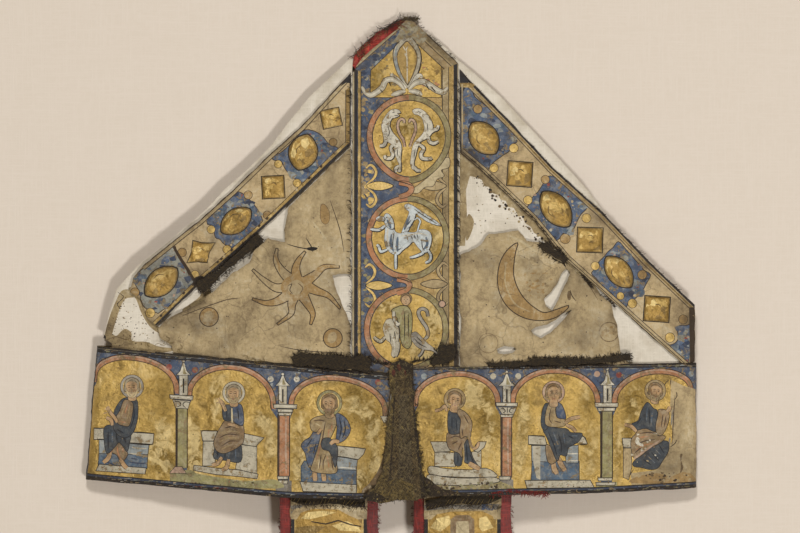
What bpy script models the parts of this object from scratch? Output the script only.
# Medieval parchment mitre, flattened and lying on its front horn, back horn up.
# Drawing coordinates: x to the right, y from the rim to the tip, z up, in millimetres, with x = y = 0 at the
# middle of the rim. MM turns them into metres, and the origin is moved to the middle of the base.
import math

import bmesh
import bpy
import numpy as np
from mathutils import Vector
from mathutils.geometry import delaunay_2d_cdt

MM = 0.001

# Driving sizes
RIM_LEFT = 154.2  # from the middle of the rim to the left fold
RIM_RIGHT = 140.7
RIM_CORNER = 6.7  # height of the rim's left corner
BAND_LEAN = 0.085  # the left fold leans in by this much for each millimetre up
TIP = 228.0  # height of the horn's point above the rim
LAPPET_END = -330.0
LAPPET_WIDTH = 47.0
LAPPET_FACE_WIDTH = 37.0

SKIN = 1.0  # painted parchment
SUPPORT = 1.0  # white sheet under the parchment
SILK = 1.0
BRAID = 1.2
FELT = 1.6
GAP = 0.35  # left between neighbouring pieces
LAYER_GAP = 0.5  # and between the layers of a curved wall

EDGE_HEIGHT = 10.0  # over the pressed fold at each side
FOLD_RADIUS = EDGE_HEIGHT / 2
SUPPORT_DEPTH = SKIN + LAYER_GAP  # how deep each layer lies under the outer face
SILK_DEPTH = SUPPORT_DEPTH + SUPPORT + LAYER_GAP
LAPPET_DEPTH = SILK_DEPTH + SILK + LAYER_GAP

WEB_FOLD_Y = 75.0  # the silk between the horns is folded here
WEB_FOLD_RADIUS = 2.0
WEB_OPENING = 45.0  # it spreads to the horns over this height

STEP = 11.0  # spacing of the points in a curved sheet
COARSE = 40.0  # and in a flat one

# Height of the horn's slopes: half widths left and right of the middle, from the rim to the tip
SLOPES = (
    # y, left, right
    (0.0, RIM_LEFT - FOLD_RADIUS, RIM_RIGHT - FOLD_RADIUS),
    (72.0, 148.0, 139.5),
    (89.0, 146.0, 139.5),
    (111.0, 126.0, 117.0),
    (134.0, 97.0, 95.0),
    (178.0, 57.0, 55.0),
    (204.0, 28.0, 27.5),
    (TIP, 4.0, 4.0),
)
# How far the back horn bulges above the height of its edges
BULGE = (
    # y, rise
    (0.0, 16.0),
    (60.0, 13.0),
    (140.0, 6.5),
    (204.0, 1.5),
    (TIP, 0.3),
)
BULGE_POWER = 1.5

# Broad folds and dents of the back horn
FOLDS = (
    # x, y, direction in degrees, half length, half width, height
    (-104.0, 110.0, 126.0, 22.0, 14.0, 1.8),
    (-95.0, 84.0, 35.0, 30.0, 16.0, -1.6),
    (-66.0, 96.0, 60.0, 26.0, 18.0, 1.4),
    (44.0, 100.0, 20.0, 22.0, 18.0, 1.5),
    (84.0, 86.0, 130.0, 26.0, 16.0, 1.4),
    (-122.0, 34.0, 85.0, 26.0, 14.0, 1.4),
    (-84.0, 24.0, 95.0, 22.0, 16.0, -1.2),
    (-28.0, 26.0, 80.0, 26.0, 15.0, 1.6),
    (30.0, 30.0, 100.0, 26.0, 15.0, 1.3),
    (108.0, 30.0, 88.0, 24.0, 15.0, -1.2),
)

# Edges of the circulus at the back
BAND_TOP = ((-148.9, 69.4), (-7.2, 55.9), (2.4, 58.8), (140.7, 60.7))
BAND_BOTTOM = (
    (-154.2, 6.7), (-104.6, 2.4), (-57.4, -1.9), (-15.4, -3.4),
    (8.7, -1.9), (50.6, -0.5), (92.5, 0.0), (140.7, 2.4),
)
SEAM_LEFT = ((-14.0, -3.4), (-7.6, 55.9))  # torn edges of the centre back seam, bottom and top
SEAM_RIGHT = ((3.5, -2.2), (0.8, 58.5))

TITULUS_LEFT, TITULUS_RIGHT = -25.6, 26.0
TITULUS_SHOULDER_LEFT, TITULUS_SHOULDER_RIGHT = 205.8, 206.2
TITULUS_TIP = 226.5

# Outlines of the worn pieces at the back, anticlockwise or clockwise as they come
SLOPE_LEFT = (
    (-26.1, 201.5), (-50.1, 175.4), (-83.4, 146.5), (-106.5, 125.3), (-125.3, 110.9), (-131.2, 104.0),
    (-133.0, 95.4), (-128.0, 92.5), (-124.8, 82.9), (-120.0, 79.0), (-98.3, 99.8), (-83.4, 112.8),
    (-67.0, 127.2), (-26.1, 166.6),
)
SLOPE_RIGHT = (
    (26.5, 202.9), (50.6, 177.9), (71.3, 155.7), (95.4, 134.0), (117.1, 110.9), (139.8, 89.2),
    (140.0, 61.4), (133.0, 61.3), (77.6, 110.9), (61.2, 130.6), (38.1, 152.8), (26.5, 162.5),
)
FIELD_LEFT = (
    (-26.1, 165.6), (-56.4, 136.5), (-58.3, 125.3), (-57.4, 119.1), (-66.0, 121.5), (-72.8, 115.2),
    (-75.0, 109.4), (-83.4, 104.0), (-92.1, 95.8), (-98.8, 90.1), (-112.3, 83.8), (-119.6, 78.0),
    (-118.1, 73.3), (-112.8, 69.4), (-112.0, 66.3), (-26.1, 58.2), (-26.1, 80.0), (-32.8, 95.9),
    (-35.2, 103.6), (-26.1, 104.1),
)
FIELD_RIGHT = (
    (26.5, 113.3), (34.7, 117.1), (40.5, 123.4), (54.5, 124.8), (58.8, 120.0), (65.6, 119.4),
    (77.6, 109.6), (99.3, 89.6), (102.2, 79.5), (103.6, 65.1), (108.0, 60.8), (26.5, 59.6),
)
FIELD_RIGHT_HOLES = (
    ((76.5, 105.0), (79.5, 102.0), (76.2, 94.5), (70.4, 85.8), (67.0, 91.1), (73.3, 97.4)),
    ((80.0, 86.0), (74.7, 80.0), (64.6, 72.3), (60.2, 77.1), (70.0, 81.5)),
    ((44.8, 68.8), (53.5, 68.8), (53.0, 65.0), (44.8, 65.4)),
)

# Dark braid that is left on the joints, by its corners
BRAIDS = {
    "braid_band_left": (
        (-53.5, 65.6), (-35.0, 63.9), (-16.9, 61.7), (-16.9, 56.4), (-36.0, 58.0), (-53.5, 60.7),
    ),
    "braid_band_right": (
        (40.0, 63.1), (75.0, 64.2), (107.5, 66.0), (107.5, 61.3), (74.0, 59.6), (40.0, 59.3),
    ),
    "braid_titulus": ((13.9, 68.4), (27.5, 67.5), (27.5, 58.8), (13.9, 59.8)),
    "braid_slope_left": ((-70.9, 121.9), (-68.0, 118.8), (-95.9, 95.9), (-99.3, 100.5)),
    "braid_slope_right": ((66.0, 118.6), (70.9, 119.6), (79.6, 108.9), (75.7, 105.6)),
}
FELT_OUTLINE = (
    (-6.7, 60.2), (3.4, 60.2), (5.6, 30.0), (8.7, -1.9),
    (5.3, -4.6), (-12.0, -4.8), (-15.4, -3.2), (-10.0, 28.0),
)

# Raised gilt gems of the slope bands
GEM_HEIGHT = 1.1
GEM_SLOPE = 0.3  # share of a gem's radius over which it rises
GEMS = (
    # kind, x, y, length, width, direction in degrees
    ("square", -35.7, 179.3, 9.0, 8.6, 12.0),
    ("oval", -49.2, 162.9, 17.0, 13.5, 75.0),
    ("square", -63.6, 146.0, 10.4, 10.4, 3.0),
    ("oval", -81.5, 129.7, 17.0, 11.0, 38.0),
    ("square", -98.3, 114.7, 10.0, 9.0, 0.0),
    ("oval", -117.6, 100.3, 19.0, 12.0, 40.0),
    ("oval", 38.1, 169.7, 18.0, 13.0, 128.0),
    ("square", 55.4, 152.3, 11.4, 11.4, -4.0),
    ("oval", 72.8, 135.4, 20.0, 12.5, 128.0),
    ("square", 89.2, 120.5, 11.8, 11.4, -2.0),
    ("oval", 103.1, 105.1, 18.0, 11.0, 130.0),
    ("square", 121.5, 87.2, 11.8, 11.6, -4.0),
)
OVAL_SIDES = 12

# Straight edges of the front horn, where nothing is torn
FRONT_SLOPE_TOP = 201.5  # at the titulus, outer edge
FRONT_SLOPE_WIDTH = 39.5  # measured upright
FRONT_SLOPE_CORNER = (137.5, 91.0)
FRONT_TITULUS_HALF = 25.8

COLOURS = {
    # base colour, roughness, metallic
    "parchment": ((0.42, 0.33, 0.21), 0.7, 0.0),
    "gilt parchment": ((0.55, 0.42, 0.16), 0.42, 0.35),
    "support": ((0.80, 0.79, 0.75), 0.85, 0.0),
    "silk": ((0.42, 0.04, 0.04), 0.6, 0.0),
    "felt": ((0.06, 0.045, 0.03), 0.95, 0.0),
}

ORIGIN_X = (RIM_RIGHT - RIM_LEFT) / 2
ORIGIN_Y = (TIP + 5.0 + LAPPET_END) / 2


def table(rows, column):
    return [row[column] for row in rows]


def half_width(x, y):
    """Distance from the middle to the horn's edge, on the side that each x is on."""
    left = np.interp(y, table(SLOPES, 0), table(SLOPES, 1))
    right = np.interp(y, table(SLOPES, 0), table(SLOPES, 2))
    return np.where(x < 0, left, right)


def folds(x, y):
    height = np.zeros_like(x)
    for fold_x, fold_y, direction, half_length, half_width_, rise in FOLDS:
        c, s = math.cos(math.radians(direction)), math.sin(math.radians(direction))
        along = (x - fold_x) * c + (y - fold_y) * s
        across = (y - fold_y) * c - (x - fold_x) * s
        height += rise * np.exp(-((along / half_length) ** 2) - (across / half_width_) ** 2)
    return height


def back_face(x, y):
    """Height of the back horn's outer face."""
    share = np.clip(np.abs(x) / half_width(x, y), 0, 1)
    inside = 1 - share**2
    rise = np.interp(y, table(BULGE, 0), table(BULGE, 1))
    return EDGE_HEIGHT + rise * inside**BULGE_POWER + folds(x, y) * np.sqrt(inside)


def on_back(depth_of_layer=0.0):
    """A sheet of the back horn, its outer face this deep under the outside."""

    def place(x, y, depth):
        return x, y, back_face(x, y) - depth_of_layer - depth

    return place


def on_front(depth_of_layer=0.0):
    """A flat sheet of the front horn, which lies face down."""

    def place(x, y, depth):
        return x, y, np.full_like(x, depth_of_layer) + depth

    return place


# The strips round the head are drawn unrolled: along is measured from the centre back, leftwards round the
# left fold, over the front, round the right fold and back to the seam.
TURN = math.pi * FOLD_RADIUS
BACK_LEFT = RIM_LEFT - FOLD_RADIUS
BACK_RIGHT = RIM_RIGHT - FOLD_RADIUS
ALONG_FOLD_LEFT = (BACK_LEFT, BACK_LEFT + TURN)
ACROSS_FRONT = BACK_LEFT + BACK_RIGHT
ALONG_FOLD_RIGHT = (ALONG_FOLD_LEFT[1] + ACROSS_FRONT, ALONG_FOLD_LEFT[1] + ACROSS_FRONT + TURN)
ROUND = ALONG_FOLD_RIGHT[1] + BACK_RIGHT


def round_head(depth_of_layer=0.0):
    """A strip round the head, its outer face this deep under the outside."""

    def place(along, y, depth):
        depth = depth_of_layer + depth
        lean = 1 - BAND_LEAN * (y - RIM_CORNER) / BACK_LEFT
        turn_left = (along - ALONG_FOLD_LEFT[0]) / FOLD_RADIUS
        turn_right = (along - ALONG_FOLD_RIGHT[0]) / FOLD_RADIUS
        across_front = (along - ALONG_FOLD_LEFT[1]) / ACROSS_FRONT
        radius = FOLD_RADIUS - depth
        left_x, right_x = -BACK_LEFT * lean, np.full_like(along, BACK_RIGHT)
        x_back_left, x_back_right = -along * lean, ROUND - along
        ends = (ALONG_FOLD_LEFT[0], ALONG_FOLD_LEFT[1], ALONG_FOLD_RIGHT[0], ALONG_FOLD_RIGHT[1])
        where = [along < end for end in ends]
        xs = [
            x_back_left,
            left_x - radius * np.sin(turn_left),
            left_x + (right_x - left_x) * across_front,
            right_x + radius * np.sin(turn_right),
        ]
        zs = [
            back_face(x_back_left, y) - depth,
            FOLD_RADIUS + radius * np.cos(turn_left),
            np.zeros_like(along) + depth,
            FOLD_RADIUS - radius * np.cos(turn_right),
        ]
        x = np.select(where, xs, x_back_right)
        z = np.select(where, zs, back_face(x_back_right, y) - depth)
        return x, y, z

    return place


def between_horns(x, along, depth):
    """The folded silk: along is measured from its fold, up the back horn or, below zero, up the front one."""
    half_turn = math.pi / 2 * WEB_FOLD_RADIUS
    angle = np.clip(along / WEB_FOLD_RADIUS, -math.pi / 2, math.pi / 2)
    rise = np.maximum(np.abs(along) - half_turn, 0)
    y = WEB_FOLD_Y + rise
    middle = back_face(x, y) / 2
    wide = middle - SILK_DEPTH
    share = np.clip(rise / WEB_OPENING, 0, 1)
    share = share * share * (3 - 2 * share)
    away = WEB_FOLD_RADIUS + (wide - WEB_FOLD_RADIUS) * share - depth
    y = y - (WEB_FOLD_RADIUS - depth) * np.cos(angle)
    return x, y, middle + away * np.sin(angle)


def lappet(height):
    """A layer of a lappet: under the back of the lining at the rim, then down to rest flat, this high."""

    def place(x, y, depth):
        share = np.clip((y + 78.0) / 78.0, 0, 1)
        share = share * share * (3 - 2 * share)
        under_lining = back_face(x, np.maximum(y, 0)) - LAPPET_DEPTH
        flat = SILK + GAP + SKIN
        return x, y, flat + (under_lining - flat) * share - (flat - height) - depth

    return place


def in_ring(points, ring):
    x, y = points[:, 0], points[:, 1]
    inside = np.zeros(len(points), bool)
    for (x0, y0), (x1, y1) in zip(ring, ring[1:] + ring[:1]):
        crosses = (y0 > y) != (y1 > y)
        with np.errstate(divide="ignore", invalid="ignore"):
            inside ^= crosses & (x < (x1 - x0) * (y - y0) / (y1 - y0) + x0)
    return inside


def near_ring(points, ring, distance):
    near = np.zeros(len(points), bool)
    for start, end in zip(ring, ring[1:] + ring[:1]):
        a, b = np.array(start), np.array(end)
        share = np.clip(((points - a) @ (b - a)) / max((b - a) @ (b - a), 1e-9), 0, 1)
        near |= np.linalg.norm(points - a - share[:, None] * (b - a), axis=1) < distance
    return near


def divided(ring, step):
    """The ring with points no further apart than step."""
    points = []
    for (x0, y0), (x1, y1) in zip(ring, ring[1:] + ring[:1]):
        count = max(1, math.ceil(math.hypot(x1 - x0, y1 - y0) / step))
        points += [(x0 + (x1 - x0) * i / count, y0 + (y1 - y0) * i / count) for i in range(count)]
    return points


def material(name):
    found = bpy.data.materials.get(name)
    if found:
        return found
    colour, roughness, metallic = COLOURS[name]
    made = bpy.data.materials.new(name)
    made.use_nodes = True
    shader = made.node_tree.nodes["Principled BSDF"]
    shader.inputs["Base Color"].default_value = (*colour, 1)
    shader.inputs["Roughness"].default_value = roughness
    shader.inputs["Metallic"].default_value = metallic
    made.diffuse_color = (*colour, 1)
    return made


def lattice(xs, ys):
    return np.array([(x, y) for x in xs for y in ys], float)


def add_object(name, mesh, finish):
    mesh.materials.append(material(finish))
    mesh.shade_smooth()
    mesh.set_sharp_from_angle(angle=math.radians(35))
    made = bpy.data.objects.new(name, mesh)
    bpy.context.collection.objects.link(made)
    made.parent = mitre
    return made


def sheet(name, outline, place, thickness, finish, holes=(), inner=None, step=STEP, gems=()):
    """A closed sheet of this outline, cut into triangles in the drawing and then lifted by place."""
    rings = [divided(list(outline), step)] + [divided(list(hole), step) for hole in holes]
    if inner is None:
        inner = lattice(np.arange(-176, 177, step), np.arange(-22, 240, step))
    keep = in_ring(inner, rings[0]) & ~near_ring(inner, rings[0], 0.4 * step)
    for ring in rings[1:]:
        keep &= ~in_ring(inner, ring) & ~near_ring(inner, ring, 0.3 * step)
    marks = [ring for gem in gems for ring in gem_rings(gem)]
    for ring in marks:
        keep &= ~near_ring(inner, ring, 0.12 * step)
    inner = inner[keep]
    coords, edges = [], []
    for ring in rings + marks:
        start, count = len(coords), len(ring)
        coords += ring
        edges += [(start + i, start + (i + 1) % count) for i in range(count)]
    coords += [tuple(point) for point in inner]
    flat = delaunay_2d_cdt([Vector(point) for point in coords], edges, [], 0, 1e-4, False)
    points = np.array([tuple(point) for point in flat[0]])
    faces = np.array([tuple(face) for face in flat[2]])
    middle = points[faces].mean(axis=1)
    inside = in_ring(middle, rings[0])
    for ring in rings[1:]:
        inside &= ~in_ring(middle, ring)
    faces = faces[inside]
    used, faces = np.unique(faces, return_inverse=True)
    points, faces = points[used], faces.reshape(-1, 3)
    x, y = points[:, 0], points[:, 1]
    outer = np.stack(place(x, y, np.zeros_like(x)), axis=1)
    under = np.stack(place(x, y, np.full_like(x, thickness)), axis=1)
    outer[:, 2] += gem_relief(x, y, gems)
    built = bmesh.new()
    top = [built.verts.new(point) for point in outer]
    for face in faces:
        built.faces.new([top[i] for i in face])
    lifted = bmesh.ops.extrude_face_region(built, geom=built.faces[:])
    copies = [item for item in lifted["geom"] if isinstance(item, bmesh.types.BMVert)]
    twin = {tuple(round(value, 6) for value in top[i].co): i for i in range(len(top))}
    for copy in copies:
        copy.co = under[twin[tuple(round(value, 6) for value in copy.co)]]
    for vert in built.verts:
        vert.co = ((vert.co.x - ORIGIN_X) * MM, (vert.co.y - ORIGIN_Y) * MM, vert.co.z * MM)
    bmesh.ops.recalc_face_normals(built, faces=built.faces[:])
    mesh = bpy.data.meshes.new(name)
    built.to_mesh(mesh)
    built.free()
    return add_object(name, mesh, finish)


def gem_rings(gem):
    """The outline of a gem and, inside it, the edge of its raised face."""
    kind, gem_x, gem_y, length, width, direction = gem
    c, s = math.cos(math.radians(direction)), math.sin(math.radians(direction))
    rings = []
    for share in (1.0, 1.0 - GEM_SLOPE):
        if kind == "oval":
            turns = [2 * math.pi * i / OVAL_SIDES for i in range(OVAL_SIDES)]
            corners = [(math.cos(t) * length / 2, math.sin(t) * width / 2) for t in turns]
        else:
            corners = [(i * length / 2, j * width / 2) for i, j in ((-1, -1), (1, -1), (1, 1), (-1, 1))]
        rings.append([(gem_x + share * (a * c - b * s), gem_y + share * (a * s + b * c)) for a, b in corners])
    return rings


def gem_relief(x, y, gems):
    relief = np.zeros_like(x)
    for kind, gem_x, gem_y, length, width, direction in gems:
        c, s = math.cos(math.radians(direction)), math.sin(math.radians(direction))
        a = ((x - gem_x) * c + (y - gem_y) * s) / (length / 2)
        b = ((y - gem_y) * c - (x - gem_x) * s) / (width / 2)
        reach = np.hypot(a, b) if kind == "oval" else np.maximum(np.abs(a), np.abs(b))
        relief = np.maximum(relief, GEM_HEIGHT * np.clip((1 - reach) / GEM_SLOPE, 0, 1))
    return relief


def band_top(x):
    return np.interp(x, table(BAND_TOP, 0), table(BAND_TOP, 1))


def band_bottom(x):
    return np.interp(x, table(BAND_BOTTOM, 0), table(BAND_BOTTOM, 1))


def front_top(x):
    """The circulus's upper edge on the front, straight from fold to fold."""
    return float(np.interp(x, (BAND_TOP[0][0], BAND_TOP[-1][0]), (BAND_TOP[0][1], BAND_TOP[-1][1])))


def head_strip(name, thickness, depth_of_layer, below, short, finish):
    """A strip round the head between the band's edges, below longer at the rim and short shorter at the top."""
    (left_low, _), (left_high, _) = SEAM_LEFT
    (right_low, _), (right_high, _) = SEAM_RIGHT
    low, high = [], []
    xs = [x for x, _ in BAND_BOTTOM if x < left_low - 1]
    for x in [left_low] + xs[::-1]:
        low.append((-x if x > -RIM_LEFT else BACK_LEFT + TURN / 2, float(band_bottom(x))))
    low.append((ALONG_FOLD_LEFT[1] + ACROSS_FRONT / 2, 0.0))
    low.append((ALONG_FOLD_RIGHT[1] - TURN / 2, float(band_bottom(RIM_RIGHT))))
    for x in (92.5, 50.6, right_low):
        low.append((ROUND - x, float(band_bottom(x))))
    for x in (right_high, 60.0):
        high.append((ROUND - x, float(band_top(x))))
    high.append((ALONG_FOLD_RIGHT[1] - TURN / 2, float(band_top(RIM_RIGHT))))
    high.append((BACK_LEFT + TURN / 2, float(band_top(-RIM_LEFT))))
    high.append((-left_high, float(band_top(left_high))))
    outline = [(along, y - below) for along, y in low] + [(along, y - short) for along, y in high]
    turns = [start + TURN * i / 5 for start in (ALONG_FOLD_LEFT[0], ALONG_FOLD_RIGHT[0]) for i in range(6)]
    columns = list(np.arange(STEP, BACK_LEFT - 4, STEP)) + turns
    columns += list(np.arange(ALONG_FOLD_LEFT[1] + STEP, ALONG_FOLD_RIGHT[0] - 4, 3 * STEP))
    columns += [ROUND - x for x in np.arange(STEP, BACK_RIGHT - 4, STEP)]
    inner = lattice(columns, np.arange(-22, 90, STEP))
    return sheet(name, outline, round_head(depth_of_layer), thickness, finish, inner=inner)


def horn_outline(inset, top, in_band):
    """The white sheet's outline: in_band keeps it clear of the folds of the strips round the head."""
    left = [(-half + inset, y) for y, half, _ in SLOPES if 80 < y < TIP]
    right = [(half - inset, y) for y, _, half in SLOPES if 80 < y < TIP]
    low_left = [(-BACK_LEFT + in_band, 8.0), (-BACK_LEFT + in_band + 5.5, 70.6), (-146.5, 72.8)]
    low_right = [(137.6, 64.0), (BACK_RIGHT - in_band, 61.0), (BACK_RIGHT - in_band, 3.6)]
    tip = [(-2.0, top), (2.0, top)]
    rim = [(60.0, 1.0), (4.0, -1.0), (-20.0, -2.0), (-100.0, 3.6)]
    return low_left + left + tip + right[::-1] + low_right + rim


def build_layers():
    head_strip("circulus", SKIN, 0.0, 0.0, 0.0, "gilt parchment")
    support_outline = horn_outline(1.2, TIP - 3.0, 2.2)
    sheet("support_back", support_outline, on_back(SUPPORT_DEPTH), SUPPORT, "support")
    sheet("support_front", support_outline, on_front(SUPPORT_DEPTH), SUPPORT, "support", step=COARSE)
    head_strip("silk_lining", SILK, SILK_DEPTH, 0.6, 2.0, "silk")


def build_web():
    """Two leaves of silk joined by the fold between the horns; the back one shows at the tip."""
    half_turn = math.pi / 2 * WEB_FOLD_RADIUS
    ys = [WEB_FOLD_Y, 89.0, 111.0, 134.0, 178.0, 204.0]
    left = [(-float(half_width(-1.0, y)) + 3.0, y) for y in ys]
    right = [(float(half_width(1.0, y)) - 3.0, y) for y in ys]
    left[-1] = (-29.5, 206.0)
    left.append((-5.5, TIP - 0.5))
    right.append((2.0, TIP - 1.5))

    def leaf(points, sign):
        return [(x, sign * (y - WEB_FOLD_Y + half_turn)) for x, y in points]

    back = leaf(left, 1) + leaf(right, 1)[::-1]
    front = leaf(right, -1) + leaf(left, -1)[::-1]
    rows = [half_turn * i / 2 for i in range(-2, 3)]
    rises = np.arange(88.0, 230.0, STEP) - WEB_FOLD_Y + half_turn
    rows += list(rises) + list(-rises)
    inner = lattice(np.arange(-176, 177, STEP), rows)
    sheet("silk_web", back + front, between_horns, SILK, "silk", inner=inner)


def build_back():
    left, right = TITULUS_LEFT, TITULUS_RIGHT
    titulus = [
        (left + GAP / 2, 58.4), (-8.0, 56.6), (1.6, 59.4), (right - GAP / 2, 59.8),
        (right - GAP / 2, TITULUS_SHOULDER_RIGHT), (0.8, TITULUS_TIP), (-0.8, TITULUS_TIP),
        (left + GAP / 2, TITULUS_SHOULDER_LEFT),
    ]
    sheet("titulus_back", titulus, on_back(), SKIN, "gilt parchment")
    for side, sign, outline in (("left", -1, SLOPE_LEFT), ("right", 1, SLOPE_RIGHT)):
        gems = [gem for gem in GEMS if gem[1] * sign > 0]
        sheet(f"slope_back_{side}", outline, on_back(), SKIN, "gilt parchment", gems=gems)
    sheet("field_back_left", FIELD_LEFT, on_back(), SKIN, "parchment")
    sheet("field_back_right", FIELD_RIGHT, on_back(), SKIN, "parchment", holes=FIELD_RIGHT_HOLES)
    for name, outline in BRAIDS.items():
        sheet(name, outline, on_back(-GAP - BRAID), BRAID, "felt")
    sheet("seam_felt", FELT_OUTLINE, on_back(-GAP - FELT), FELT, "felt")


def build_front():
    edge, seam = FRONT_TITULUS_HALF, 2 * GAP
    titulus = [
        (-edge, front_top(-edge) + seam), (edge, front_top(edge) + seam), (edge, TITULUS_SHOULDER_LEFT),
        (0.8, TITULUS_TIP), (-0.8, TITULUS_TIP), (-edge, TITULUS_SHOULDER_LEFT),
    ]
    sheet("titulus_front", titulus, on_front(), SKIN, "gilt parchment", step=COARSE)
    corner_x, corner_y = FRONT_SLOPE_CORNER
    fall = (FRONT_SLOPE_TOP - corner_y) / (corner_x - edge)
    for side, sign in (("left", -1), ("right", 1)):
        start = edge + seam
        top = FRONT_SLOPE_TOP - FRONT_SLOPE_WIDTH
        end = (top - front_top(sign * corner_x)) / fall + start - 2.0
        slope = [
            (sign * start, FRONT_SLOPE_TOP), (sign * corner_x, corner_y),
            (sign * corner_x, front_top(sign * corner_x) + seam), (sign * end, front_top(sign * end) + seam),
            (sign * start, top),
        ]
        sheet(f"slope_front_{side}", slope, on_front(), SKIN, "gilt parchment", step=COARSE)
        field = [
            (sign * start, top - 2 * seam),
            (sign * (end - 3 * seam), front_top(sign * end) + seam + fall * seam),
            (sign * start, front_top(sign * start) + seam),
        ]
        sheet(f"field_front_{side}", field, on_front(), SKIN, "parchment", step=COARSE)


def build_lappets():
    """Each tail is silk with a parchment face on it and a strip of dark braid across its head."""
    for side, middle in (("left", -36.6), ("right", 27.7)):
        half, half_face = LAPPET_WIDTH / 2, LAPPET_FACE_WIDTH / 2

        def strip(half_across, low, high):
            left, right = middle - half_across, middle + half_across
            return [(left, low), (right, low), (right, high), (left, high)]

        columns = np.linspace(middle - half, middle + half, 5)
        rows = list(np.arange(-77.0, 6.0, STEP)) + list(np.arange(LAPPET_END, -90.0, COARSE))
        inner = lattice(columns, rows)
        flat = SILK + GAP + SKIN
        silk = strip(half, LAPPET_END, 6.0)
        face = strip(half_face, LAPPET_END + 5.0, 5.0)
        head = strip(half_face - 1.0, -10.4, -6.2)
        sheet(f"lappet_{side}_silk", silk, lappet(SILK), SILK, "silk", inner=inner)
        sheet(f"lappet_{side}_face", face, lappet(flat), SKIN, "parchment", inner=inner)
        sheet(f"lappet_{side}_head", head, lappet(flat + GAP + BRAID), BRAID, "felt")


def build_knot():
    """The dark tuft on the tip."""
    built = bmesh.new()
    bmesh.ops.create_uvsphere(built, u_segments=12, v_segments=8, radius=1.0)
    size, centre = (4.6, 2.7, 2.6), (0.6, TIP + 2.3, EDGE_HEIGHT - 0.6)
    for vert in built.verts:
        co = [centre[i] + size[i] * vert.co[i] for i in range(3)]
        vert.co = ((co[0] - ORIGIN_X) * MM, (co[1] - ORIGIN_Y) * MM, co[2] * MM)
    mesh = bpy.data.meshes.new("apex_knot")
    built.to_mesh(mesh)
    built.free()
    add_object("apex_knot", mesh, "felt")


for old in list(bpy.data.objects):
    bpy.data.objects.remove(old, do_unlink=True)
mitre = bpy.data.objects.new("mitre", None)
bpy.context.collection.objects.link(mitre)
build_layers()
build_web()
build_back()
build_front()
build_lappets()
build_knot()
